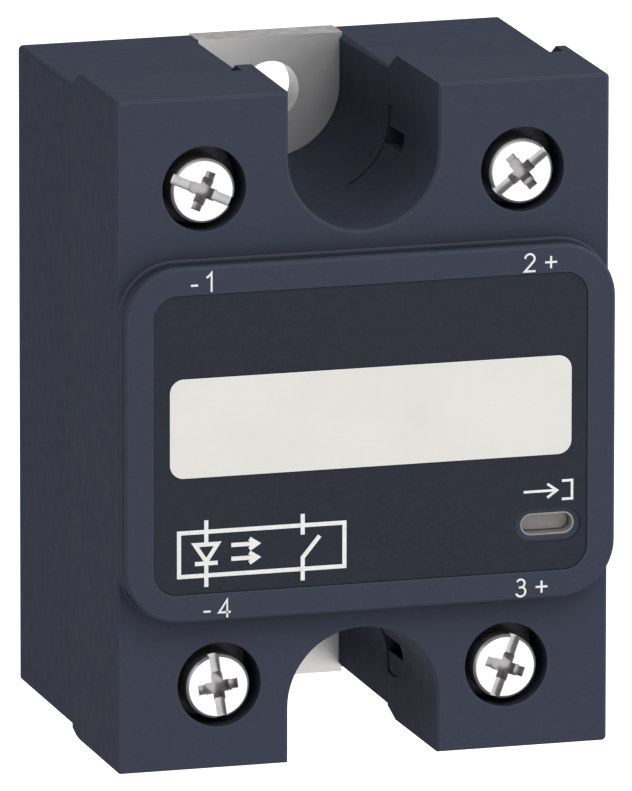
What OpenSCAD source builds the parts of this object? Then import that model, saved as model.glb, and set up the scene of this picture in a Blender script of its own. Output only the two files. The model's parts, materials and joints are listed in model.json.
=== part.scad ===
// Panel-mount solid state relay with a lift-off terminal cover.
// The mounting plane is y = 0. Depths ("d") are measured forward from it, towards -Y.
// +Z is up, +X is to the right of someone facing the label, and z = 0 is the middle
// of the housing's height.

/* [Housing] */
// Width of the moulded housing
housing_w = 43.3; // [40:0.1:48]
// Height of the moulded housing
housing_h = 56.2; // [52:0.1:60]
// Depth at which the housing ends and the cover begins
housing_d = 17; // [14:0.5:20]
// Thickness of the housing side walls
housing_wall = 1.6; // [1.2:0.1:2.5]
// Radius of the mounting notches where they meet the base plate
back_notch_r = 6.2; // [5.5:0.05:6.4]
// Radius on the housing and cover corners
corner_r = 0.4; // [0.3:0.05:1]

/* [Base plate] */
// Thickness of the aluminium base plate
plate_t = 3; // [2:0.1:4]
// Height of the base plate over its two mounting ears
plate_h = 56.75; // [56:0.05:57]
// Width of the base plate inside the housing
plate_w = 40.4; // [36:0.1:42]
// Distance between the two mounting holes
mount_pitch = 47.6; // [47:0.1:48]
// Diameter of the mounting holes
mount_hole_dia = 5.1; // [4:0.1:5.5]

/* [Cover] */
// Width of the cover
cover_w = 43.5; // [40:0.1:48]
// Height of the cover's top wall above the middle
cover_top = 29.5; // [28:0.1:31]
// Drop of the cover's bottom wall below the middle
cover_bottom = 28.9; // [28:0.1:31]
// Depth of the cover's front face
cover_front = 31.3; // [28:0.1:34]
// Thickness of the cover's front wall
cover_wall = 1.8; // [1.2:0.1:2.5]
// Radius of the mounting notches at the cover's front face
front_notch_r = 6.65; // [6.4:0.05:7]
// Diameter of the screwdriver holes
driver_hole_dia = 7.4; // [6.5:0.1:8.5]
// Height of the screwdriver holes above and below the middle
driver_hole_z = 21.6; // [20:0.1:23]
// Bevel along the cover's front edges
front_bevel = 0.2; // [0.1:0.05:0.4]

/* [Label frame] */
// Height of the raised label frame
frame_h = 30.8; // [26:0.2:34]
// Corner radius of the raised label frame
frame_r = 4.8; // [3:0.1:6]
// Height of the label frame above the cover's front face
frame_rise = 2.4; // [1.5:0.1:4]
// Width of the dark label panel
panel_w = 38.4; // [34:0.1:40]
// Height of the dark label panel
panel_h = 26; // [22:0.1:28]
// Width of the white writing strip
strip_w = 35.5; // [30:0.1:37]
// Height of the white writing strip
strip_h = 8.6; // [6:0.1:12]
// Width of the indicator window
window_w = 4.8; // [3:0.1:6]
// Height of the indicator window
window_h = 1.95; // [1.5:0.05:3]

/* [Terminals] */
// Half the distance between the two output screws
output_x = 14.05; // [12:0.05:15]
// Half the distance between the two input screws
input_x = 12.75; // [11:0.05:15]
// Diameter of the terminal screw heads
head_dia = 5.6; // [5:0.1:7]
// Height of the terminal screw heads
head_t = 2.2; // [1.5:0.1:3]
// Diameter of the screw shanks
shank_dia = 3.9; // [3:0.1:4]
// Length of the screw shanks under the head
shank_len = 10; // [9:0.5:10]
// Depth of the screw heads' faces when backed right out
head_face_d = 31; // [28:0.1:32]
// Travel of a screw and its clamp plate from open to closed
clamp_travel = 2.8; // [2:0.1:3.5]

/* [Control board] */
// Depth of the back of the control board
board_d = 12; // [10:0.5:14]
// Thickness of the control board
board_t = 1.6; // [0.8:0.1:2]

/* [Hidden] */
$fn = 64;
e = 0.01;                          // overlap between a cut and the face it breaks
hole_drop = 0.3;                   // the mounting holes sit this much below the middle
plate_drop = 0.12;                 // and the base plate's ears this much
cover_h = cover_top + cover_bottom;
cover_mid = (cover_top - cover_bottom) / 2;
cover_d = housing_d + 0.1;
long_slope = 4.5;                  // depth of the sloped back edge along the top and bottom
short_slope = 2.3;                 // and at the sides and beside the notches
frame_front = cover_front + frame_rise;
frame_cavity_h = 24;               // hollow behind the label frame
frame_wall = 1.9;
side_wall = 1.1;                   // thickness of the cover's side walls
cavity_z = 27.3;                   // half height of the cover's cavity
shell_cavity_h = 53;               // height of the housing's cavity
ledge_x = 19.6;                    // ledges on the housing's side walls, under the control board
ledge_w = 1.4;
ledge_h = 16;
ledge_t = 1.15;
plate_body_h = 53.4;               // height of the base plate beside its ears
plate_gap = 0.05;                  // around the plate in the housing
ear_w = 12.9;
notch_wall_r = 7.9;                // back of the cover's wall around a notch
spigot_gap = 0.15;                 // between the cover and the housing's spigot
spigot_t = 1;
spigot_d = 20.5;
spigot_r = notch_wall_r + spigot_gap + spigot_t;
screw_drop = 0.25;                 // the screws hang this much below the driver holes
notch_run = 12;                    // how far a notch runs past its mounting hole
mouth_bevel = 0.4;                 // bevel where a housing notch opens to the top or bottom
latch_in = 1.63;                   // from a notch's centre towards the middle, to its snap window
latch_h = 1.55;
latch_to = 21.6;
dish_in = 2.5;                     // shallow dish in the notch wall around a snap window
dish_d = 18.5;
dish_r = 3.65;
dish_t = 0.12;
slit_d = 13.4;                     // moulding slit across the floor of a housing notch
slit_t = 0.15;
slit_w = 3;
slit_x = 0.3;
sleeve_t = 0.7;                    // sleeves behind the driver holes
sleeve_d = cover_front - cover_wall - 2;
window_x = 15.75;
window_z = -8.97;
window_flare = 0.5;
strip_z = 1.45;
recess = 0.3;                      // depth of the label panel's recess
panel_t = 0.2;
panel_r = 2.1;
window_rim = frame_front - recess - 0.17;
window_d = 28;                     // back of the window through the label frame
wire_relief_d = 21;                // back of the thinned wall outside a terminal
head_back = head_face_d - head_t;
slot_w = 0.85;
collar_t = 1.8;                    // spring washer held under the screw head
collar_r = 2.5;
clamp_t = 0.8;
clamp_back = head_back - collar_t - clamp_t;
land_top = clamp_back - clamp_travel - 0.05;
land_t = 1.2;
tower_d = land_top - land_t;
tower_z = 27;                      // outer ends of the towers
guide_z = 25.6;                    // outer ends of the clamp guides
guide_t = 0.8;
land_hole_r = 2.15;
guide_gap = 0.15;
guide_back = tower_d - 2;
guide_front = sleeve_d - 0.3;
nut_side = 7;
nut_t = 3.2;
tip_r = 2.4;                       // room behind a nut for the tip of its screw
tip_d = 15;
bar_z = 14.6;                      // inner face of the bars where they run backwards
bar_t = 1;
ceramic_t = 0.63;
copper_t = 0.3;
die_t = 0.3;
pad_d = plate_t + ceramic_t + copper_t;
gel_d = 9;
gel_w = 39.8;
gel_h = 29;
gel_pocket_d = 6.6;                // front of the space that the power stage fills
ceramic_w = 37;
ceramic_h = 23;
ceramic_z = 2.9;
pad_w = 17;
pad_h = 14.4;
pad_x = 9.4;
pad_z = 7;
die_w = 4.4;
die_h = 5.6;
die_z = 4.4;
pin_x = 5;                         // gate pins between the power stage and the board
pin_z = -4.5;
pin_r = 0.4;
pitch = 1.27;                      // half the spacing of component leads

// [x, z, land width, land height] of terminals 1 to 4
TERMINALS = [
    [-output_x, driver_hole_z - screw_drop, 8.6, 8.4],
    [output_x, driver_hole_z - screw_drop, 8.6, 8.4],
    [input_x, -driver_hole_z - screw_drop, 7.2, 7.8],
    [-input_x, -driver_hole_z - screw_drop, 7.2, 7.8]
];
DRIVER_HOLES = [for (t = TERMINALS) [t[0], sign(t[1]) * driver_hole_z]];

// Heights of the upper (s = 1) and lower (s = -1) mounting hole and notch centre
function hole_z(s) = s * mount_pitch / 2 - hole_drop;
function notch_z(s) = s > 0 ? hole_z(s) + hole_drop : hole_z(s);
function latch_z(s) = notch_z(s) - s * latch_in;

// The notches widen evenly from the base plate to the front face
function notch_r(d) =
    back_notch_r + (front_notch_r - back_notch_r) * (d - plate_t) / (cover_front - plate_t);

// ---- helpers -------------------------------------------------------------

// Extrude an X-Z outline forward between two depths
module layer(from, to) {
    translate([0, -from, 0])
        rotate([90, 0, 0])
            linear_extrude(to - from)
                children();
}

// A box centred on x and z between two depths
module block(x, z, w, h, from, to) {
    translate([x - w / 2, -to, z - h / 2])
        cube([w, to - from, h]);
}

// A round post on x and z between two depths
module post(x, z, r, from, to) {
    translate([x, -from, z])
        rotate([90, 0, 0])
            cylinder(h = to - from, r = r);
}

// A cone on x and z whose radius changes from r1 to r2
module cone(x, z, r1, r2, from, to) {
    translate([x, -from, z])
        rotate([90, 0, 0])
            cylinder(h = to - from, r1 = r1, r2 = r2);
}

// Extrude a depth-height profile sideways, centred on x
module rail(x, w) {
    translate([x - w / 2, 0, 0])
        rotate([90, 0, 90])
            linear_extrude(w)
                children();
}

module round_rect(w, h, r) {
    square([w, h - 2 * r], center = true);
    square([w - 2 * r, h], center = true);
    for (x = [-1, 1], y = [-1, 1])
        translate([x * (w / 2 - r), y * (h / 2 - r)])
            circle(r);
}

module pill(w, h) {
    square([w - h, h], center = true);
    for (x = [-1, 1])
        translate([x * (w - h) / 2, 0])
            circle(h / 2);
}

// A pill that grows by c all round between two depths
module flared_pill(x, z, w, h, c, from, to) {
    for (s = [-1, 1])
        cone(x + s * (w - h) / 2, z, h / 2, h / 2 + c, from, to);
    rail(x, w - h)
        polygon([[-from, z - h / 2], [-from, z + h / 2], [-to, z + h / 2 + c], [-to, z - h / 2 - c]]);
}

// The two notches around the mounting holes, open to the top and bottom
module notches(r) {
    for (s = [-1, 1]) {
        translate([0, notch_z(s)])
            circle(r);
        translate([-r, s > 0 ? notch_z(s) : notch_z(s) - notch_run])
            square([2 * r, notch_run]);
    }
}

// Notches whose radius grows from r1 to r2 between two depths
module flared_notches(r1, r2, from, to) {
    for (s = [-1, 1]) {
        intersection() {
            cone(0, notch_z(s), r1, r2, from, to);
            block(0, notch_z(s) - s * r2, 3 * r2, 2 * r2, from - 1, to + 1);
        }
        translate([0, 0, s > 0 ? notch_z(s) : notch_z(s) - notch_run])
            linear_extrude(notch_run)
                polygon([[-r1, -from], [r1, -from], [r2, -to], [-r2, -to]]);
    }
}

// The drafted notches between two depths, grown by g
module notch_cut(from, to, g = 0) {
    flared_notches(notch_r(from) + g, notch_r(to) + g, from, to);
}

// A rounded slab whose front edges are bevelled by c
module bevelled_slab(w, h, r, c, from, to) {
    layer(from, to - c)
        round_rect(w, h, r);
    rail(0, w - 2 * r)
        polygon([
            [-(to - c), -h / 2], [-to, -h / 2 + c],
            [-to, h / 2 - c], [-(to - c), h / 2]
        ]);
    translate([0, 0, -(h - 2 * r) / 2])
        linear_extrude(h - 2 * r)
            polygon([
                [-w / 2, -(to - c)], [-w / 2 + c, -to],
                [w / 2 - c, -to], [w / 2, -(to - c)]
            ]);
    for (x = [-1, 1], z = [-1, 1])
        cone(x * (w / 2 - r), z * (h / 2 - r), r, r - c, to - c, to);
}

// ---- housing and base plate -----------------------------------------------

module plate_outline(gap = 0) {
    square([plate_w + 2 * gap, plate_body_h + 2 * gap], center = true);
    translate([0, -plate_drop])
        square([ear_w + 2 * gap, plate_h + 2 * gap], center = true);
}

module base_plate() {
    color("silver")
        difference() {
            layer(0, plate_t)
                plate_outline();
            for (s = [-1, 1])
                post(0, hole_z(s), mount_hole_dia / 2, -e, plate_t + e);
        }
}

// Bevelled edges where the housing's notches open to the top and bottom
module notch_mouths() {
    r = back_notch_r + mouth_bevel;
    z = housing_h / 2 + e;
    for (s = [-1, 1])
        polygon([[0, s * (z - r)], [-r, s * z], [r, s * z]]);
}

module housing_shell() {
    layer(0, plate_t)
        difference() {
            round_rect(housing_w, housing_h, corner_r);
            plate_outline(plate_gap);
        }
    difference() {
        layer(plate_t, housing_d)
            difference() {
                round_rect(housing_w, housing_h, corner_r);
                difference() {
                    square([housing_w - 2 * housing_wall, shell_cavity_h], center = true);
                    notches(spigot_r);
                }
            }
        notch_cut(plate_t - e, housing_d + e);
        layer(plate_t, housing_d + e)
            notch_mouths();
    }
}

// Rim that stands up inside the cover
module housing_spigot() {
    layer(housing_d - 1, spigot_d)
        difference() {
            square([cover_w - 2 * (side_wall + spigot_gap), 2 * (cavity_z - spigot_gap)], center = true);
            notches(notch_wall_r + spigot_gap);
            difference() {
                square([
                    cover_w - 2 * (side_wall + spigot_gap + spigot_t),
                    2 * (cavity_z - spigot_gap - spigot_t)
                ], center = true);
                notches(spigot_r);
            }
        }
}

// Pillar under a terminal, with a wall on each side that guides the clamp plate
module tower(t) {
    s = sign(t[1]);
    inner = bar_z + bar_t + 0.1;
    guide_x = t[2] / 2 + guide_gap + guide_t / 2;
    block(t[0], s * (inner + tower_z) / 2, 2 * guide_x + guide_t, tower_z - inner, plate_t, tower_d);
    for (x = [-1, 1])
        block(
            t[0] + x * guide_x, s * (inner + guide_z) / 2, guide_t, guide_z - inner,
            guide_back, guide_front
        );
}

module base_housing() {
    ledge_front = board_d - 0.05;
    nut_pocket = nut_side + 0.1;
    nut_back = tower_d - nut_t - 0.05;
    sill = 0.5;
    color("dimgray")
        difference() {
            union() {
                housing_shell();
                housing_spigot();
                for (t = TERMINALS)
                    tower(t);
                for (x = [-1, 1])
                    block(x * ledge_x, 0, ledge_w, ledge_h, ledge_front - ledge_t, ledge_front);
            }
            for (t = TERMINALS) {
                block(t[0], t[1], nut_pocket, nut_pocket, nut_back, tower_d + e);
                post(t[0], t[1], tip_r, tip_d, tower_d);
            }
            for (s = [-1, 1]) {
                block(0, latch_z(s), 2 * spigot_r + 1, latch_h, housing_d + sill, spigot_d - sill);
                block(slit_x, notch_z(s) - s * notch_r(slit_d), slit_w, 1, slit_d, slit_d + slit_t);
            }
        }
}

// ---- power stage ----------------------------------------------------------

module ceramic_substrate() {
    color("white")
        block(0, ceramic_z, ceramic_w, ceramic_h, plate_t, plate_t + ceramic_t);
}

// Two large pads for the output bars and dies, and two small ones for the gate pins
module copper_pads() {
    small_w = 4;
    small_h = 5;
    color("peru")
        for (x = [-1, 1]) {
            block(x * pad_x, pad_z, pad_w, pad_h, plate_t + ceramic_t, pad_d);
            block(x * pin_x, pin_z, small_w, small_h, plate_t + ceramic_t, pad_d);
        }
}

module power_dies() {
    color("gray")
        for (x = [4.4, 10])
            block(x, die_z, die_w, die_h, pad_d, pad_d + die_t);
}

// Strap over both dies with a foot on the other pad
module source_clip() {
    clip_h = 3.6;
    clip_t = 0.4;
    strap_w = 17;
    strap_x = 3.1;
    foot_w = 2;
    foot_x = strap_x - (strap_w - foot_w) / 2;
    front = pad_d + die_t + clip_t;
    color("chocolate") {
        block(strap_x, die_z, strap_w, clip_h, front - clip_t, front);
        block(foot_x, die_z, foot_w, clip_h, pad_d, front);
    }
}

// Surface-mount diode bridging the gap between the large pads
module freewheel_diode() {
    w = 6.6;
    h = 5.2;
    z = 11.6;
    body_back = pad_d + 0.2;
    body_t = 2.1;
    lead_w = 1.6;
    lead_h = 2.6;
    color("black") {
        block(0, z, w, h, body_back, body_back + body_t);
        for (x = [-1, 1])
            block(x * (w / 2 - 0.2), z, lead_w, lead_h, pad_d, body_back);
    }
}

// Potting over the power stage, with slots for the output bars and holes for the pins
module potting_gel() {
    gap = 0.1;
    slot_z = bar_z - 0.6;
    color("gold")
        difference() {
            block(0, 0, gel_w, gel_h, plate_t, gel_d);
            block(0, ceramic_z, ceramic_w + 2 * gap, ceramic_h + 2 * gap, plate_t - e, gel_pocket_d);
            for (x = [-1, 1]) {
                block(x * output_x, slot_z, 8.6 + 2 * gap, 3, plate_t - e, gel_d + e);
                post(x * pin_x, pin_z, pin_r + gap / 2, gel_pocket_d - 0.6, gel_d + e);
            }
        }
}

// ---- terminals ------------------------------------------------------------

// Land under the clamp plate and the leg that runs back beside its pillar
module bar(t, leg_d) {
    s = sign(t[1]);
    inner = s * bar_z;
    outer = t[1] + s * t[3] / 2;
    difference() {
        block(t[0], (inner + outer) / 2, t[2], abs(outer - inner), tower_d, land_top);
        post(t[0], t[1], land_hole_r, tower_d - e, land_top + e);
    }
    block(t[0], s * (bar_z + bar_t / 2), t[2] - 1, bar_t, leg_d, tower_d + e);
}

// Bar with a foot soldered to its copper pad
module output_bar(t) {
    foot_z = 13.2;
    foot_h = 3;
    color("goldenrod") {
        bar(t, pad_d);
        block(t[0], foot_z, t[2] - 1.6, foot_h, pad_d, pad_d + bar_t);
    }
}

module output_bar_1() {
    output_bar(TERMINALS[0]);
}

module output_bar_2() {
    output_bar(TERMINALS[1]);
}

// Bar with a foot soldered to the control board
module input_bar(t) {
    foot_w = 3;
    foot_h = 2;
    foot_z = -13.7;
    color("goldenrod") {
        bar(t, on_board());
        block(t[0], foot_z, foot_w, foot_h, on_board(), on_board(0.8));
    }
}

module input_bar_3() {
    input_bar(TERMINALS[2]);
}

module input_bar_4() {
    input_bar(TERMINALS[3]);
}

module terminal_nuts() {
    color("lightgray")
        for (t = TERMINALS)
            difference() {
                block(t[0], t[1], nut_side, nut_side, tower_d - nut_t, tower_d);
                post(t[0], t[1], shank_dia / 2 + 0.05, tower_d - nut_t - e, tower_d + e);
            }
}

// Saddle plate with grip grooves that the screw pulls down on a wire
module clamp_plate(t) {
    w = t[2] - 0.4;
    h = t[3] - 1.2;
    groove_x = w / 2 - 0.9;
    groove_z = 1.6;
    groove_t = 0.25;
    color("lightsteelblue")
        difference() {
            block(t[0], t[1], w, h, clamp_back, clamp_back + clamp_t);
            post(t[0], t[1], shank_dia / 2 + 0.1, clamp_back - e, clamp_back + clamp_t + e);
            for (x = [-1, 1], z = [-1, 1])
                block(
                    t[0] + x * groove_x, t[1] + z * groove_z, 1, 0.5,
                    clamp_back - e, clamp_back + groove_t
                );
        }
}

module clamp_plate_1() {
    clamp_plate(TERMINALS[0]);
}

module clamp_plate_2() {
    clamp_plate(TERMINALS[1]);
}

module clamp_plate_3() {
    clamp_plate(TERMINALS[2]);
}

module clamp_plate_4() {
    clamp_plate(TERMINALS[3]);
}

// Cheese-head screw with a full slot and a shorter cross slot; turn is the slot's angle
module terminal_screw(t, turn) {
    r = head_dia / 2;
    rim = 0.22;
    point = 0.6;
    tip = head_back - shank_len;
    full_slot_t = 0.7;
    short_slot_t = 0.8;
    short_slot = 3.5;
    socket = [2.3, 1];
    socket_t = 1.5;
    color("whitesmoke")
        difference() {
            union() {
                post(t[0], t[1], r, head_back, head_face_d - rim);
                cone(t[0], t[1], r, r - rim, head_face_d - rim, head_face_d);
                post(t[0], t[1], collar_r, head_back - collar_t, head_back + e);
                post(t[0], t[1], shank_dia / 2, tip + point, head_back + e);
                cone(t[0], t[1], shank_dia / 2 - point, shank_dia / 2, tip, tip + point);
            }
            translate([t[0], 0, t[1]])
                rotate([0, turn, 0]) {
                    block(0, 0, head_dia + 1, slot_w, head_face_d - full_slot_t, head_face_d + e);
                    block(0, 0, slot_w, short_slot, head_face_d - short_slot_t, head_face_d + e);
                    for (i = [0, 1])
                        block(0, 0, socket[i], socket[1 - i], head_face_d - socket_t, head_face_d + e);
                }
        }
}

module terminal_screw_1() {
    terminal_screw(TERMINALS[0], 24);
}

module terminal_screw_2() {
    terminal_screw(TERMINALS[1], -38);
}

module terminal_screw_3() {
    terminal_screw(TERMINALS[2], -70);
}

module terminal_screw_4() {
    terminal_screw(TERMINALS[3], 82);
}

// ---- control board --------------------------------------------------------

// Depth of a point this far in front of the board's component side
function on_board(rise = 0) = board_d + board_t + rise;

module control_board() {
    w = 39;
    h = 27;
    z = -0.4;
    color("darkgreen")
        block(0, z, w, h, board_d, on_board());
}

// Four-lead package that carries the signal across the isolation gap
module optocoupler() {
    x = -6.5;
    z = -6;
    w = 4.6;
    h = 6.4;
    lead_z = h / 2 + 0.4;
    color("white") {
        block(x, z, w, h, on_board(0.4), on_board(3.8));
        for (dx = [-pitch, pitch], dz = [-lead_z, lead_z])
            block(x + dx, z + dz, 0.6, 0.8, on_board(), on_board(2));
    }
}

// Round package with a flat face and three leads
module driver_transistor() {
    x = 6.5;
    z = 5.5;
    r = 2.4;
    back = 1.6;
    flat_z = 1.4;
    color("black") {
        difference() {
            post(x, z, r, on_board(back), on_board(6.2));
            block(x, z + flat_z + r / 2 + 0.3, 6, 3, on_board(back - 0.1), on_board(6.3));
        }
        for (dx = [-pitch, 0, pitch])
            block(x + dx, z, 0.45, 0.45, on_board(), on_board(back) + e);
    }
}

module chip_resistors() {
    w = 3.2;
    h = 1.6;
    t = 0.6;
    color("black")
        for (p = [[-1, 9], [-1, 5.5], [0.5, -2], [0.5, -9.5]])
            block(p[0], p[1], w, h, on_board(), on_board(t));
}

module storage_capacitor() {
    r = 2.5;
    h = 7;
    color("midnightblue")
        post(6.5, -6, r, on_board(), on_board(h));
}

// Glass diode lying on two end caps
module zener_diode() {
    x = -12;
    z = 9.5;
    glass_l = 5;
    glass_r = 1.3;
    axis_rise = 1.4;
    cap_x = 2.9;
    color("firebrick") {
        translate([x, -on_board(axis_rise), z])
            rotate([0, 90, 0])
                cylinder(h = glass_l, r = glass_r, center = true);
        for (s = [-1, 1])
            block(x + s * cap_x, z, 0.8, 0.7, on_board(), on_board(axis_rise + 0.35));
    }
}

// Dipped disc standing on its two leads
module surge_suppressor() {
    x = -12;
    z = 2;
    disc_r = 5;
    disc_t = 3.6;
    axis_rise = 5.6;
    lead_x = 2.5;
    color("royalblue") {
        translate([x, -on_board(axis_rise), z])
            cylinder(h = disc_t, r = disc_r, center = true);
        for (s = [-1, 1])
            block(x + s * lead_x, z, 0.8, 0.8, on_board(), on_board(1.4));
    }
}

module gate_pins() {
    color("silver")
        for (x = [-1, 1])
            post(x * pin_x, pin_z, pin_r, pad_d, board_d);
}

// Domed lamp behind the indicator window
module status_led() {
    r = 1.5;
    flange_r = 1.9;
    dome = on_board(3.4);
    color("palegreen") {
        post(window_x, window_z, flange_r, on_board(), on_board(1));
        post(window_x, window_z, r, on_board(1), dome);
        intersection() {
            translate([window_x, -dome, window_z])
                sphere(r);
            block(window_x, window_z, 2 * flange_r, 2 * flange_r, dome, dome + flange_r);
        }
    }
}

// ---- cover ----------------------------------------------------------------

// Side profile of the cover, its back edges sloped over the length run
module cover_profile(run) {
    z = housing_h / 2 + 0.05;
    polygon([
        [-cover_d, -z], [-cover_d - run, -cover_bottom],
        [-cover_front, -cover_bottom], [-cover_front, cover_top],
        [-cover_d - run, cover_top], [-cover_d, z]
    ]);
}

module cover_block() {
    intersection() {
        translate([0, 0, cover_mid])
            bevelled_slab(cover_w, cover_h, corner_r, front_bevel, cover_d, cover_front);
        union() {
            rail(0, cover_w + 1)
                cover_profile(long_slope);
            for (s = [-1, 1]) {
                rail(s * (cover_w - side_wall) / 2, side_wall)
                    cover_profile(short_slope);
                rail(s * (back_notch_r + notch_wall_r) / 2, notch_wall_r - back_notch_r)
                    cover_profile(short_slope);
            }
        }
    }
}

// Cut for the mounting notches, with bevelled front edges
module cover_notches() {
    r = front_notch_r;
    notch_cut(cover_d - e, cover_front + e);
    flared_notches(r - e, r + front_bevel, cover_front - front_bevel - e, cover_front);
}

// Snap windows in the notch walls, each in a shallow round dish
module latch_windows() {
    for (s = [-1, 1])
        block(0, latch_z(s), 2 * notch_wall_r + 2, latch_h, cover_d - e, latch_to);
    intersection() {
        notch_cut(cover_d - e, dish_d + dish_r + 0.5, dish_t);
        for (s = [-1, 1])
            translate([-notch_wall_r, -dish_d, notch_z(s) - s * dish_in])
                rotate([0, 90, 0])
                    cylinder(h = 2 * notch_wall_r, r = dish_r);
    }
}

// Stepped frame that stands out of the front face and carries the label
module label_frame() {
    step = 0.5;
    neck_in = 0.7;
    lip_t = 0.9;
    bevelled_slab(cover_w, frame_h + step, frame_r, 0.15, cover_front - 1, cover_front + step);
    layer(cover_front, frame_front - lip_t + 0.1)
        round_rect(cover_w - 0.1, frame_h - 2 * neck_in, frame_r - neck_in);
    bevelled_slab(cover_w - 0.2, frame_h, frame_r, 0.2, frame_front - lip_t, frame_front);
}

module cover_cavity() {
    layer(cover_d - e, cover_front - cover_wall)
        difference() {
            square([cover_w - 2 * side_wall, 2 * cavity_z], center = true);
            notches(notch_wall_r);
        }
    block(
        0, 0, cover_w - 4 * side_wall, frame_cavity_h,
        cover_front - cover_wall - e, frame_front - frame_wall
    );
}

module cover_body() {
    difference() {
        union() {
            cover_block();
            label_frame();
        }
        cover_cavity();
    }
    for (p = DRIVER_HOLES)
        post(p[0], p[1], driver_hole_dia / 2 + sleeve_t, sleeve_d, cover_front - cover_wall + e);
}

module terminal_cover() {
    color("darkslategray")
        difference() {
            cover_body();
            cover_notches();
            latch_windows();
            for (p = DRIVER_HOLES)
                post(p[0], p[1], driver_hole_dia / 2, sleeve_d - e, cover_front + e);
            for (t = TERMINALS)
                block(
                    t[0], sign(t[1]) * (cavity_z + 0.3), t[2], 1.2,
                    wire_relief_d, cover_front - cover_wall
                );
            layer(frame_front - recess, frame_front + e)
                round_rect(panel_w, panel_h, panel_r);
            translate([window_x, 0, window_z])
                layer(window_d, frame_front)
                    pill(window_w, window_h);
            flared_pill(
                window_x, window_z, window_w, window_h, window_flare,
                window_rim, frame_front - recess + e
            );
        }
}

module label_panel() {
    color("black")
        layer(frame_front - recess, frame_front - recess + panel_t)
            difference() {
                round_rect(panel_w - 0.1, panel_h - 0.1, panel_r - 0.05);
                translate([window_x, window_z])
                    pill(window_w + 2 * window_flare, window_h + 2 * window_flare);
            }
}

module label_strip() {
    back = frame_front - recess + panel_t;
    strip_t = 0.1;
    strip_r = 1.2;
    color("white")
        translate([0, 0, strip_z])
            layer(back, back + strip_t)
                round_rect(strip_w, strip_h, strip_r);
}

// Light pipe from the status LED to the window, with a raised face inside a thin sleeve
module led_lens() {
    w = window_w - 0.04;
    h = window_h - 0.04;
    cup = 1.4;
    sleeve_wall = 0.13;
    stem_w = 3.6;
    stem_back = 18.9;
    stem_front = 29.5;
    color("lightgray")
        translate([window_x, 0, window_z]) {
            layer(stem_back, stem_front)
                pill(stem_w, h - 0.15);
            layer(stem_front, window_rim - cup)
                pill(w, h);
            layer(window_rim - cup, window_rim)
                difference() {
                    pill(w, h);
                    pill(w - 2 * sleeve_wall, h - 2 * sleeve_wall);
                }
            layer(window_rim - cup, window_rim - cup + 0.3)
                pill(w - 4 * sleeve_wall, h - 4 * sleeve_wall);
        }
}

// ---- assembly -------------------------------------------------------------

base_plate();
base_housing();
ceramic_substrate();
copper_pads();
power_dies();
source_clip();
freewheel_diode();
potting_gel();
output_bar_1();
output_bar_2();
input_bar_3();
input_bar_4();
terminal_nuts();
control_board();
optocoupler();
driver_transistor();
chip_resistors();
storage_capacitor();
zener_diode();
surge_suppressor();
gate_pins();
status_led();
terminal_cover();
label_panel();
label_strip();
led_lens();
clamp_plate_1();
clamp_plate_2();
clamp_plate_3();
clamp_plate_4();
terminal_screw_1();
terminal_screw_2();
terminal_screw_3();
terminal_screw_4();
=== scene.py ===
import json
import math

import bmesh
import bpy
from mathutils import Matrix, Vector


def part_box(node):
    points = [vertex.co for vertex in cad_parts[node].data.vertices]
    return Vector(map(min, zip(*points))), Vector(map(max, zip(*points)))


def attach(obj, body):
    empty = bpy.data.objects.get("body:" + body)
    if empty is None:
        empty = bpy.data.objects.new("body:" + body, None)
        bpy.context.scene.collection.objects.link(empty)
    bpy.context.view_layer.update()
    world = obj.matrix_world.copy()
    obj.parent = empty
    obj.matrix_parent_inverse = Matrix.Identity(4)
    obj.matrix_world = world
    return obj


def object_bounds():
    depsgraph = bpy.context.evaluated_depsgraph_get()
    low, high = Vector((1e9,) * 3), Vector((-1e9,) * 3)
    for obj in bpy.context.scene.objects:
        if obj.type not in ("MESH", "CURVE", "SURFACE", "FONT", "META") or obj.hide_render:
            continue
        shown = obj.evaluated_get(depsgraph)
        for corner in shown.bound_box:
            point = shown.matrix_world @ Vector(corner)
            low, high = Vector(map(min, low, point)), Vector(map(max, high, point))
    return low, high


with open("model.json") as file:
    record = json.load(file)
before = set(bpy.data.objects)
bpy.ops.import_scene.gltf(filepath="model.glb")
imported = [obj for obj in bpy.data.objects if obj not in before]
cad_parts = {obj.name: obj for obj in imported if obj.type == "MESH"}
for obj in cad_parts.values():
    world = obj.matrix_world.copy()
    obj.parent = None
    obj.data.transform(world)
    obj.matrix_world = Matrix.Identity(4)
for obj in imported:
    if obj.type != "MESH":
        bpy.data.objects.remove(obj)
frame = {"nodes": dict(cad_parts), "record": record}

CAD_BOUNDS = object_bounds()
MM = 0.001
scene = bpy.context.scene


# ---- node material helpers --------------------------------------------------

def linear(rgb):
    """8-bit sRGB to linear, with alpha."""
    return [((c / 255 + 0.055) / 1.055) ** 2.4 if c > 10 else c / 255 / 12.92 for c in rgb] + [1.0]


def scaled(colour, factor):
    """A colour made lighter or darker, no channel above 1."""
    return [min(1.0, c * factor) for c in colour[:3]] + [1.0]


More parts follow.
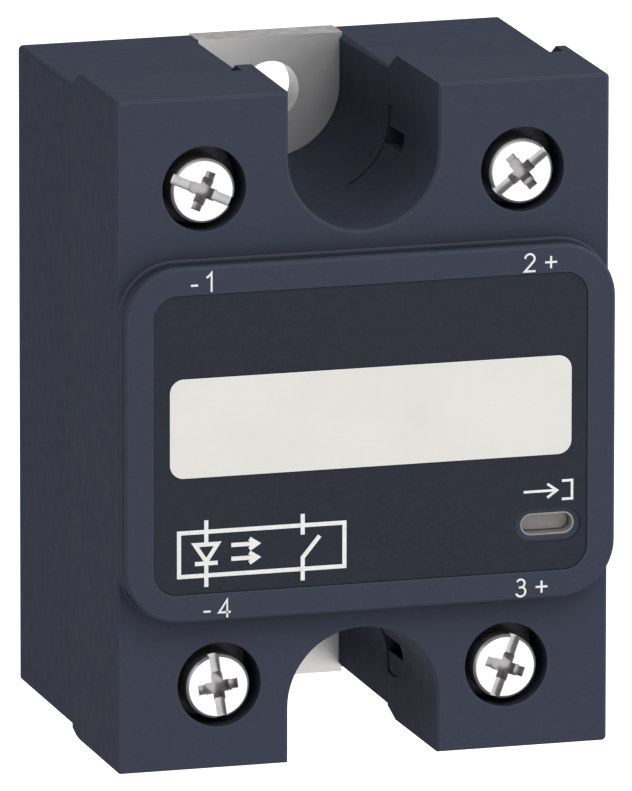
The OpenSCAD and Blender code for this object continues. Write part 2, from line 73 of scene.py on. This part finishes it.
class Nodes:
    """A material's node tree, with short names for the nodes that every finish here uses."""

    def __init__(self, name):
        self.material = bpy.data.materials.new(name)
        self.material.use_nodes = True
        self.tree = self.material.node_tree
        self.shader = self.tree.nodes["Principled BSDF"]
        self.coords = self.add("ShaderNodeTexCoord").outputs["Object"]

    def add(self, kind, **values):
        node = self.tree.nodes.new(kind)
        for key, value in values.items():
            setattr(node, key, value)
        return node

    def link(self, source, target):
        self.tree.links.new(source, target)

    def set(self, **values):
        """Constant shader values, by socket name with underscores for spaces."""
        for key, value in values.items():
            self.shader.inputs[key.replace("_", " ")].default_value = value

    def stretch(self, scale):
        node = self.add("ShaderNodeMapping")
        node.inputs["Scale"].default_value = scale
        self.link(self.coords, node.inputs["Vector"])
        return node.outputs["Vector"]

    def noise(self, scale, detail=3.0, roughness=0.55, vector=None):
        node = self.add("ShaderNodeTexNoise")
        node.inputs["Scale"].default_value = scale
        node.inputs["Detail"].default_value = detail
        node.inputs["Roughness"].default_value = roughness
        self.link(vector or self.coords, node.inputs["Vector"])
        return node.outputs["Fac"]

    def cells(self, scale):
        node = self.add("ShaderNodeTexVoronoi")
        node.inputs["Scale"].default_value = scale
        self.link(self.coords, node.inputs["Vector"])
        return node.outputs["Distance"]

    def ramp(self, source, low, high, out_low=0.0, out_high=1.0):
        node = self.add("ShaderNodeMapRange")
        node.inputs["From Min"].default_value = low
        node.inputs["From Max"].default_value = high
        node.inputs["To Min"].default_value = out_low
        node.inputs["To Max"].default_value = out_high
        self.link(source, node.inputs["Value"])
        return node.outputs["Result"]

    def math(self, operation, a, b=0.0):
        node = self.add("ShaderNodeMath", operation=operation)
        for socket, value in zip(node.inputs, (a, b)):
            if isinstance(value, (int, float)):
                socket.default_value = value
            else:
                self.link(value, socket)
        return node.outputs["Value"]

    def colour_mix(self, factor, a, b):
        """Colour a where factor is 0, b where it is 1."""
        node = self.add("ShaderNodeMix", data_type="RGBA")
        self.link(factor, node.inputs[0])
        for index, value in ((6, a), (7, b)):
            if isinstance(value, (list, tuple)):
                node.inputs[index].default_value = value
            else:
                self.link(value, node.inputs[index])
        return node.outputs[2]

    def openness(self, distance, low, high):
        """How open the surface is within a distance, from 0 in a recess to 1."""
        node = self.add("ShaderNodeAmbientOcclusion", samples=8)
        node.inputs["Distance"].default_value = distance
        return self.ramp(node.outputs["AO"], low, high)

    def edges(self, radius):
        """1 on convex edges, and 0 on those that face the floor and elsewhere: the mask for painted edge
        highlights, and for the painted edge shade on the screws.
        """
        bevel = self.add("ShaderNodeBevel", samples=6)
        bevel.inputs["Radius"].default_value = radius
        geometry = self.add("ShaderNodeNewGeometry")
        dot = self.add("ShaderNodeVectorMath", operation="DOT_PRODUCT")
        self.link(bevel.outputs["Normal"], dot.inputs[0])
        self.link(geometry.outputs["Normal"], dot.inputs[1])
        lean = self.ramp(dot.outputs["Value"], 0.998, 0.9)
        split = self.add("ShaderNodeSeparateXYZ")
        self.link(bevel.outputs["Normal"], split.inputs[0])
        upward = self.ramp(split.outputs["Z"], -0.3, 0.3)
        convex = self.openness(2 * radius, 0.6, 0.9)
        return self.math("MULTIPLY", self.math("MULTIPLY", lean, convex), upward)

    def bump(self, height, strength, distance):
        node = self.add("ShaderNodeBump")
        node.inputs["Strength"].default_value = strength
        node.inputs["Distance"].default_value = distance
        self.link(height, node.inputs["Height"])
        self.link(node.outputs["Normal"], self.shader.inputs["Normal"])

    def colour(self, source):
        self.link(source, self.shader.inputs["Base Color"])

    def rough(self, source):
        self.link(source, self.shader.inputs["Roughness"])


# ---- finishes ---------------------------------------------------------------

def moulded(name, base, tone_and_highlight, grain=5200, rough=(0.6, 0.75)):
    """Moulded plastic: spark-eroded grain, flow mottling, a painted highlight on upward-facing edges and
    painted shade in recesses.
    """
    n = Nodes(name)
    n.set(Specular_IOR_Level=0.05)
    mottle = n.noise(90, 4)
    speck = n.noise(1600, 2)
    shade = n.colour_mix(n.ramp(mottle, 0.3, 0.7), scaled(base, 0.98), base)
    shade = n.colour_mix(n.ramp(speck, 0.55, 0.75, 0, 0.1), shade, tone_and_highlight)
    # Painted highlight: convex edges that face up are mixed half-way towards the paler tone.
    shade = n.colour_mix(n.math("MULTIPLY", n.edges(0.18 * MM), 0.5), shade, tone_and_highlight)
    # Painted shade: where other surfaces lie within 14 mm, as in notches, holes and round the pod, the
    # colour darkens towards half the base.
    n.colour(n.colour_mix(n.openness(14 * MM, 0.15, 0.75), scaled(base, 0.5), shade))
    n.rough(n.ramp(n.noise(700, 3), 0.3, 0.7, *rough))
    n.bump(n.cells(grain), 0.12, 0.00002)
    return n.material


def printed_film(name, base, tone_and_highlight):
    """Label film: fine screen-print grain and a slight sheen variation."""
    n = Nodes(name)
    n.set(Specular_IOR_Level=0.08)
    shade = n.colour_mix(n.ramp(n.noise(2600, 2), 0.4, 0.7), base, tone_and_highlight)
    n.colour(n.colour_mix(n.ramp(n.noise(70, 3), 0.35, 0.7, 0, 0.35), shade, tone_and_highlight))
    n.rough(n.ramp(n.noise(500, 3), 0.3, 0.7, 0.5, 0.62))
    n.bump(n.noise(9000, 2), 0.06, 0.00001)
    return n.material


def white_film(name, base, tone_and_highlight):
    """Matt writing surface with faint clouding and a painted highlight on its upward-facing rim."""
    n = Nodes(name)
    n.set(Specular_IOR_Level=0.2)
    cloud = n.colour_mix(n.ramp(n.noise(110, 5), 0.35, 0.7), base, tone_and_highlight)
    cloud = n.colour_mix(n.ramp(n.noise(3000, 2), 0.5, 0.8, 0, 0.4), cloud, tone_and_highlight)
    # Painted highlight: convex edges that face up turn near-white.
    n.colour(n.colour_mix(n.edges(0.1 * MM), cloud, (0.95, 0.95, 0.94, 1)))
    n.rough(n.ramp(n.noise(800, 2), 0.3, 0.7, 0.6, 0.75))
    n.bump(n.noise(7000, 3), 0.08, 0.00001)
    return n.material


def metal(name, base, dark, rough=(0.2, 0.32), stretch=(1, 1, 1), scale=1800, edge=0.3, bump=0.05,
          recess=None, metallic=1.0, rim=None, reach=2 * MM):
    """Metal with a directional finish: brushing or turning marks, dulled patches, and a painted
    highlight on edges that face up.

    recess is the colour of painted shade in slots and corners that lie within reach of another surface,
    and rim is the colour painted on the edges that face up: a painted highlight, and painted shade where
    it is darker than the metal.
    """
    n = Nodes(name)
    n.set(Metallic=metallic)
    lines = n.noise(scale, 4, 0.6, n.stretch(stretch))
    patches = n.noise(260, 4)
    shade = n.colour_mix(n.ramp(lines, 0.35, 0.7), dark, base)
    shade = n.colour_mix(n.ramp(patches, 0.55, 0.8, 0, 0.25), shade, dark)
    # Painted highlight on convex edges that face up, lighter than the metal unless a rim colour is
    # given.
    rim = rim or scaled(base, 1.12)
    shade = n.colour_mix(n.math("MULTIPLY", n.edges(0.12 * MM), edge), shade, rim)
    # Painted shade: slots and corners within reach of another surface take the recess colour.
    if recess:
        shade = n.colour_mix(n.openness(reach, 0.35, 0.95), recess, shade)
    n.colour(shade)
    n.rough(n.ramp(lines, 0.3, 0.7, *rough))
    n.bump(lines, bump, 0.00002)
    return n.material


def board_laminate(name, base, weave):
    """Glass-epoxy laminate: the cloth's weave shows through the solder mask."""
    n = Nodes(name)
    n.set(Specular_IOR_Level=0.5, Coat_Weight=0.3, Coat_Roughness=0.2)
    warp = n.add("ShaderNodeTexWave", bands_direction="X")
    weft = n.add("ShaderNodeTexWave", bands_direction="Z")
    for wave in (warp, weft):
        wave.inputs["Scale"].default_value = 700
        n.link(n.coords, wave.inputs["Vector"])
    cloth = n.math("MULTIPLY", warp.outputs["Fac"], weft.outputs["Fac"])
    n.colour(n.colour_mix(n.ramp(cloth, 0.1, 0.9, 0, 0.6), base, weave))
    n.rough(n.ramp(n.noise(900, 2), 0.3, 0.7, 0.3, 0.45))
    n.bump(cloth, 0.1, 0.00002)
    return n.material


def clear_moulding(name, base, pale, transmission):
    """Tinted or frosted clear plastic with a slight haze."""
    n = Nodes(name)
    n.set(Transmission_Weight=transmission, IOR=1.5)
    n.colour(n.colour_mix(n.ramp(n.noise(400, 4), 0.35, 0.7), base, pale))
    n.rough(n.ramp(n.noise(1500, 2), 0.3, 0.7, 0.28, 0.42))
    n.bump(n.noise(5000, 2), 0.05, 0.00001)
    return n.material


MATERIALS = {
    "housing_plastic": moulded("housing_plastic", linear((58, 63, 78)), linear((90, 95, 108))),
    "cover_plastic": moulded("cover_plastic", linear((60, 64, 78)), linear((90, 95, 108))),
    "panel_film": printed_film("panel_film", linear((41, 45, 54)), linear((45, 49, 58))),
    "white_strip": white_film("white_strip", linear((225, 224, 219)), linear((220, 219, 214))),
    # The plate's recess colour is painted shade, darker within 30 mm of the notch walls.
    "plate_aluminium": metal("plate_aluminium", linear((246, 245, 243)), linear((214, 213, 211)),
                             (0.36, 0.48), stretch=(1, 1, 14), scale=900, bump=0.02,
                             recess=linear((222, 221, 220)), metallic=0.88, reach=30 * MM),
    # The screws' recess colour is painted shade in the slots, and their grey rim is painted shade along
    # edges that face up.
    "screw_nickel": metal("screw_nickel", linear((248, 248, 248)), linear((232, 232, 234)),
                          (0.16, 0.26), scale=3000, edge=0.6, bump=0.03,
                          recess=linear((150, 148, 148)), metallic=0.7, rim=linear((150, 150, 150))),
    "clamp_steel": metal("clamp_steel", linear((84, 84, 86)), linear((58, 58, 60)), (0.35, 0.5)),
    "nickel_plate": metal("nickel_plate", linear((200, 196, 184)), linear((160, 156, 146)), (0.25, 0.4)),
    "tinned_brass": metal("tinned_brass", linear((214, 204, 170)), linear((178, 160, 112)), (0.25, 0.4)),
    "copper": metal("copper", linear((216, 142, 104)), linear((160, 92, 62)), (0.3, 0.45)),
    "alumina": white_film("alumina", linear((238, 236, 228)), linear((222, 218, 206))),
    "silicon": metal("silicon", linear((120, 122, 132)), linear((84, 86, 96)), (0.08, 0.16)),
    "potting": clear_moulding("potting", linear((214, 206, 176)), linear((232, 228, 206)), 0.35),
    "black_moulding": moulded("black_moulding", linear((24, 24, 26)), linear((52, 52, 54))),
    "white_moulding": moulded("white_moulding", linear((214, 213, 208)), linear((232, 231, 226))),
    "board_green": board_laminate("board_green", linear((18, 74, 40)), linear((38, 104, 62))),
    "chip_ceramic": moulded("chip_ceramic", linear((26, 26, 30)), linear((60, 60, 64)), 7000,
                            (0.2, 0.3)),
    "capacitor_sleeve": moulded("capacitor_sleeve", linear((26, 34, 78)), linear((52, 62, 112)), 3000,
                                (0.22, 0.32)),
    "diode_glass": clear_moulding("diode_glass", linear((196, 92, 48)), linear((214, 122, 78)), 0.4),
    "varistor_coat": moulded("varistor_coat", linear((22, 60, 132)), linear((54, 94, 164)), 2500,
                             (0.25, 0.38)),
    "led_epoxy": clear_moulding("led_epoxy", linear((176, 214, 164)), linear((206, 232, 196)), 0.5),
    "lens_plastic": clear_moulding("lens_plastic", linear((140, 137, 132)), linear((150, 147, 142)),
                                   0.0),
}

for part in frame["record"]["subparts"]:
    mesh = frame["nodes"][part["node"]].data
    mesh.materials.clear()
    mesh.materials.append(MATERIALS[part["material_slot"]])


# ---- marks printed on the label frame and panel -----------------------------

INK = printed_film("print_ink", linear((236, 236, 234)), linear((226, 226, 224)))
STROKE = 0.175 * MM
INK_T = 0.02 * MM


def arc(cx, cz, r, start, stop, steps=14):
    """Points round a circle from start to stop, in degrees."""
    angles = [math.radians(start + (stop - start) * i / steps) for i in range(steps + 1)]
    return [(cx + r * math.cos(a), cz + r * math.sin(a)) for a in angles]


def side_steps(path, closed):
    """The mitred sideways step at each point of a path."""
    steps = []
    count = len(path)
    for i in range(count):
        before = path[i - 1] if i or closed else path[i]
        after = path[(i + 1) % count] if i < count - 1 or closed else path[i]
        a = (Vector(path[i]) - Vector(before)).normalized() if before != path[i] else None
        b = (Vector(after) - Vector(path[i])).normalized() if after != path[i] else None
        a = a or b
        b = b or a
        mean = (a + b).normalized()
        steps.append(Vector((-mean.y, mean.x)) / max(0.4, mean.dot(a)))
    return steps


def ribbon(bm, path, width, y, lift, closed):
    """A flat stroke along a path of (x, z) points in metres, raised off the plane y."""
    steps = side_steps(path, closed)
    rings = []
    for (x, z), step in zip(path, steps):
        ring = []
        for side, rise in ((-1, 0), (-1, lift), (1, lift), (1, 0)):
            offset = step * side * width / 2
            ring.append(bm.verts.new((x + offset.x, y - rise, z + offset.y)))
        rings.append(ring)
    pairs = list(zip(rings, rings[1:] + rings[:1])) if closed else list(zip(rings, rings[1:]))
    for a, b in pairs:
        for i in range(4):
            bm.faces.new((a[i], a[(i + 1) % 4], b[(i + 1) % 4], b[i]))
    if not closed:
        bm.faces.new(rings[0])
        bm.faces.new(rings[-1][::-1])


DIGITS = {
    "1": [[(-0.36, 0.42), (-0.16, 0.54), (0.08, 0.825), (0.08, -0.825)]],
    "2": [arc(0, 0.36, 0.42, 175, -30) + [(-0.44, -0.72), (0.5, -0.72)]],
    "3": [arc(0, 0.38, 0.35, 155, -90) + [(-0.16, 0.03)], arc(0, -0.34, 0.42, 75, -160)],
    "4": [[(0.24, -0.825), (0.24, 0.72), (-0.48, -0.36), (0.54, -0.36)]],
    "+": [[(-0.53, 0), (0.53, 0)], [(0, -0.53), (0, 0.53)]],
    "-": [[(-0.31, 0), (0.31, 0)]],
}


def mesh_object(name, bm, material):
    mesh = bpy.data.meshes.new(name)
    bm.to_mesh(mesh)
    bm.free()
    mesh.materials.append(material)
    made = bpy.data.objects.new(name, mesh)
    scene.collection.objects.link(made)
    return made


def print_mark(name, strokes, x, z, y, width=STROKE):
    """A mark made of strokes, in millimetres from its centre, each a little prouder."""
    bm = bmesh.new()
    for order, stroke in enumerate(strokes):
        path = [(x + a * MM, z + b * MM) for a, b in stroke]
        closed = path[0] == path[-1]
        ribbon(bm, path[:-1] if closed else path, width, y, INK_T * (1 + 0.2 * order), closed)
    bmesh.ops.recalc_face_normals(bm, faces=bm.faces)
    piece = mesh_object(name, bm, INK)
    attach(piece, "cover")


FRAME_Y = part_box("terminal_cover")[0].y
# (character, x, z) in millimetres, read from the left along the top and then the bottom
MARKS = [
    ("-", -15.6, 13.84), ("1", -14.18, 14.04), ("2", 13.99, 13.96), ("+", 15.87, 13.93),
    ("-", -14.51, -14.54), ("4", -12.97, -14.33), ("3", 13.28, -14.34), ("+", 15.14, -14.36),
]
SPOKEN = {"+": "plus", "-": "minus"}
for index, (mark, x, z) in enumerate(MARKS):
    name = f"mark_{SPOKEN.get(mark, mark)}_{index + 1}"
    print_mark(name, DIGITS[mark], x * MM, z * MM, FRAME_Y)

# An arrow into a terminal, printed above the indicator, in millimetres
INPUT_SYMBOL = [
    [(-2.2, 0), (0.6, 0)],
    [(-0.1, 0.6), (0.75, 0), (-0.1, -0.6)],
    [(1.2, 0.8), (2.1, 0.8), (2.1, -0.8), (1.2, -0.8)],
]
# The circuit symbol of an optically isolated switch: a diode, its light and a contact
RELAY_SYMBOL = [
    [(-7.3, 1.9), (7.3, 1.9), (7.3, -1.9), (-7.3, -1.9), (-7.3, 1.9)],
    [(-4.9, 2.9), (-4.9, 0.8)],
    [(-4.9, -0.8), (-4.9, -2.9)],
    [(-5.9, 0.8), (-3.9, 0.8), (-4.9, -0.7), (-5.9, 0.8)],
    [(-5.9, -0.85), (-3.9, -0.85)],
    [(-2.7, 0.6), (-0.5, 0.6)],
    [(-1.1, 1.05), (-0.4, 0.6), (-1.1, 0.15)],
    [(-2.7, -0.6), (-0.5, -0.6)],
    [(-1.1, -0.15), (-0.4, -0.6), (-1.1, -1.05)],
    [(3.6, 2.9), (3.6, 1.1)],
    [(3.6, -2.9), (3.6, -0.9), (5.1, 0.9)],
]
panel_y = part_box("label_panel")[0].y
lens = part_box("led_lens")
lens_x = (lens[0].x + lens[1].x) / 2
lens_z = (lens[0].z + lens[1].z) / 2
print_mark("input_symbol", INPUT_SYMBOL, lens_x, lens_z + 2.95 * MM, panel_y, 0.22 * MM)
print_mark("relay_symbol", RELAY_SYMBOL, -9.65 * MM, -9.5 * MM, panel_y, 0.36 * MM)


# ---- camera, floor and light ------------------------------------------------

AZIMUTH, ELEVATION, ROLL = 16.399, 13.045, 0.062
DISTANCE = 1.4942
TARGET = Vector((0, -0.011, 0.00035))
OFFSET = (0.001701, -0.002022)
FOCAL_PIXELS = 17375
IMAGE_WIDTH = 632
FLOOR_DROP = 0.12
LIGHT_AIM = Vector((0, -0.02, 0))


def add_camera():
    az, el, roll = (math.radians(a) for a in (AZIMUTH, ELEVATION, ROLL))
    forward = Vector((math.sin(az) * math.cos(el), math.cos(az) * math.cos(el), -math.sin(el)))
    flat = Vector((math.cos(az), -math.sin(az), 0))
    upright = flat.cross(forward)
    right = flat * math.cos(roll) + upright * math.sin(roll)
    up = upright * math.cos(roll) - flat * math.sin(roll)
    data = bpy.data.cameras.new("camera")
    data.sensor_fit = "HORIZONTAL"
    data.sensor_width = 36
    data.lens = data.sensor_width * FOCAL_PIXELS / IMAGE_WIDTH
    data.clip_start = 0.05
    data.clip_end = 20
    camera = bpy.data.objects.new("camera", data)
    place = TARGET + right * OFFSET[0] + up * OFFSET[1] - forward * DISTANCE
    rows = [(right[i], up[i], -forward[i], place[i]) for i in range(3)] + [(0, 0, 0, 1)]
    camera.matrix_world = Matrix(rows)
    scene.collection.objects.link(camera)
    scene.camera = camera


def add_floor(z):
    """Pale paper sweep that glows with painted light of its own, away from the object's left and
    underside.
    """
    n = Nodes("floor_paper")
    n.set(Specular_IOR_Level=0.1)
    paper = n.ramp(n.noise(8, 3), 0.35, 0.7)
    n.colour(n.colour_mix(paper, linear((226, 226, 226)), linear((222, 222, 222))))
    away = n.add("ShaderNodeVectorMath", operation="LENGTH")
    n.link(n.coords, away.inputs[0])
    split = n.add("ShaderNodeSeparateXYZ")
    n.link(n.coords, split.inputs[0])
    # Painted glow: the paper itself emits white light, none within 0.28 m of the origin, rising to 0.75
    # by 0.42 m, none left of x = -0.06 m and full from x = 0.07 m.
    far = n.ramp(away.outputs["Value"], 0.28, 0.42, 0.0, 0.75)
    glow = n.math("MULTIPLY", far, n.ramp(split.outputs["X"], -0.06, 0.07))
    n.link(glow, n.shader.inputs["Emission Strength"])
    n.rough(n.ramp(n.noise(30, 2), 0.3, 0.7, 0.75, 0.85))
    n.shader.inputs["Emission Color"].default_value = (1, 1, 1, 1)
    bm = bmesh.new()
    corners = [bm.verts.new((x, y, z)) for x, y in ((-4, -4), (4, -4), (4, 6), (-4, 6))]
    bm.faces.new(corners)
    mesh_object("floor", bm, n.material)


def add_softbox(name, place, size, watts):
    """A square area light aimed at the middle of the object."""
    light = bpy.data.lights.new(name, "AREA")
    light.shape = "SQUARE"
    light.size = size
    light.energy = watts
    box = bpy.data.objects.new(name, light)
    box.location = place
    box.rotation_euler = (LIGHT_AIM - Vector(place)).to_track_quat("-Z", "Y").to_euler()
    scene.collection.objects.link(box)


def add_world(front, back):
    """A studio that is bright in front of the object and dimmer behind it."""
    world = bpy.data.worlds.new("studio")
    world.use_nodes = True
    nodes, links = world.node_tree.nodes, world.node_tree.links
    direction = nodes.new("ShaderNodeTexCoord").outputs["Generated"]
    split = nodes.new("ShaderNodeSeparateXYZ")
    links.new(direction, split.inputs[0])
    fade = nodes.new("ShaderNodeMapRange")
    fade.interpolation_type = "SMOOTHSTEP"
    for key, value in (("From Min", -0.3), ("From Max", 0.5), ("To Min", front), ("To Max", back)):
        fade.inputs[key].default_value = value
    links.new(split.outputs["Y"], fade.inputs["Value"])
    links.new(fade.outputs["Result"], nodes["Background"].inputs["Strength"])
    nodes["Background"].inputs["Color"].default_value = (1, 1, 1, 1)
    scene.world = world


add_camera()
add_floor(CAD_BOUNDS[0][2] - FLOOR_DROP)
add_softbox("key", (0.3, -0.9, 1.0), 0.5, 5.0)
add_softbox("side", (1.0, 0.1, 0.9), 0.6, 5.0)
add_world(0.85, 0.32)
scene.view_settings.view_transform = "Standard"
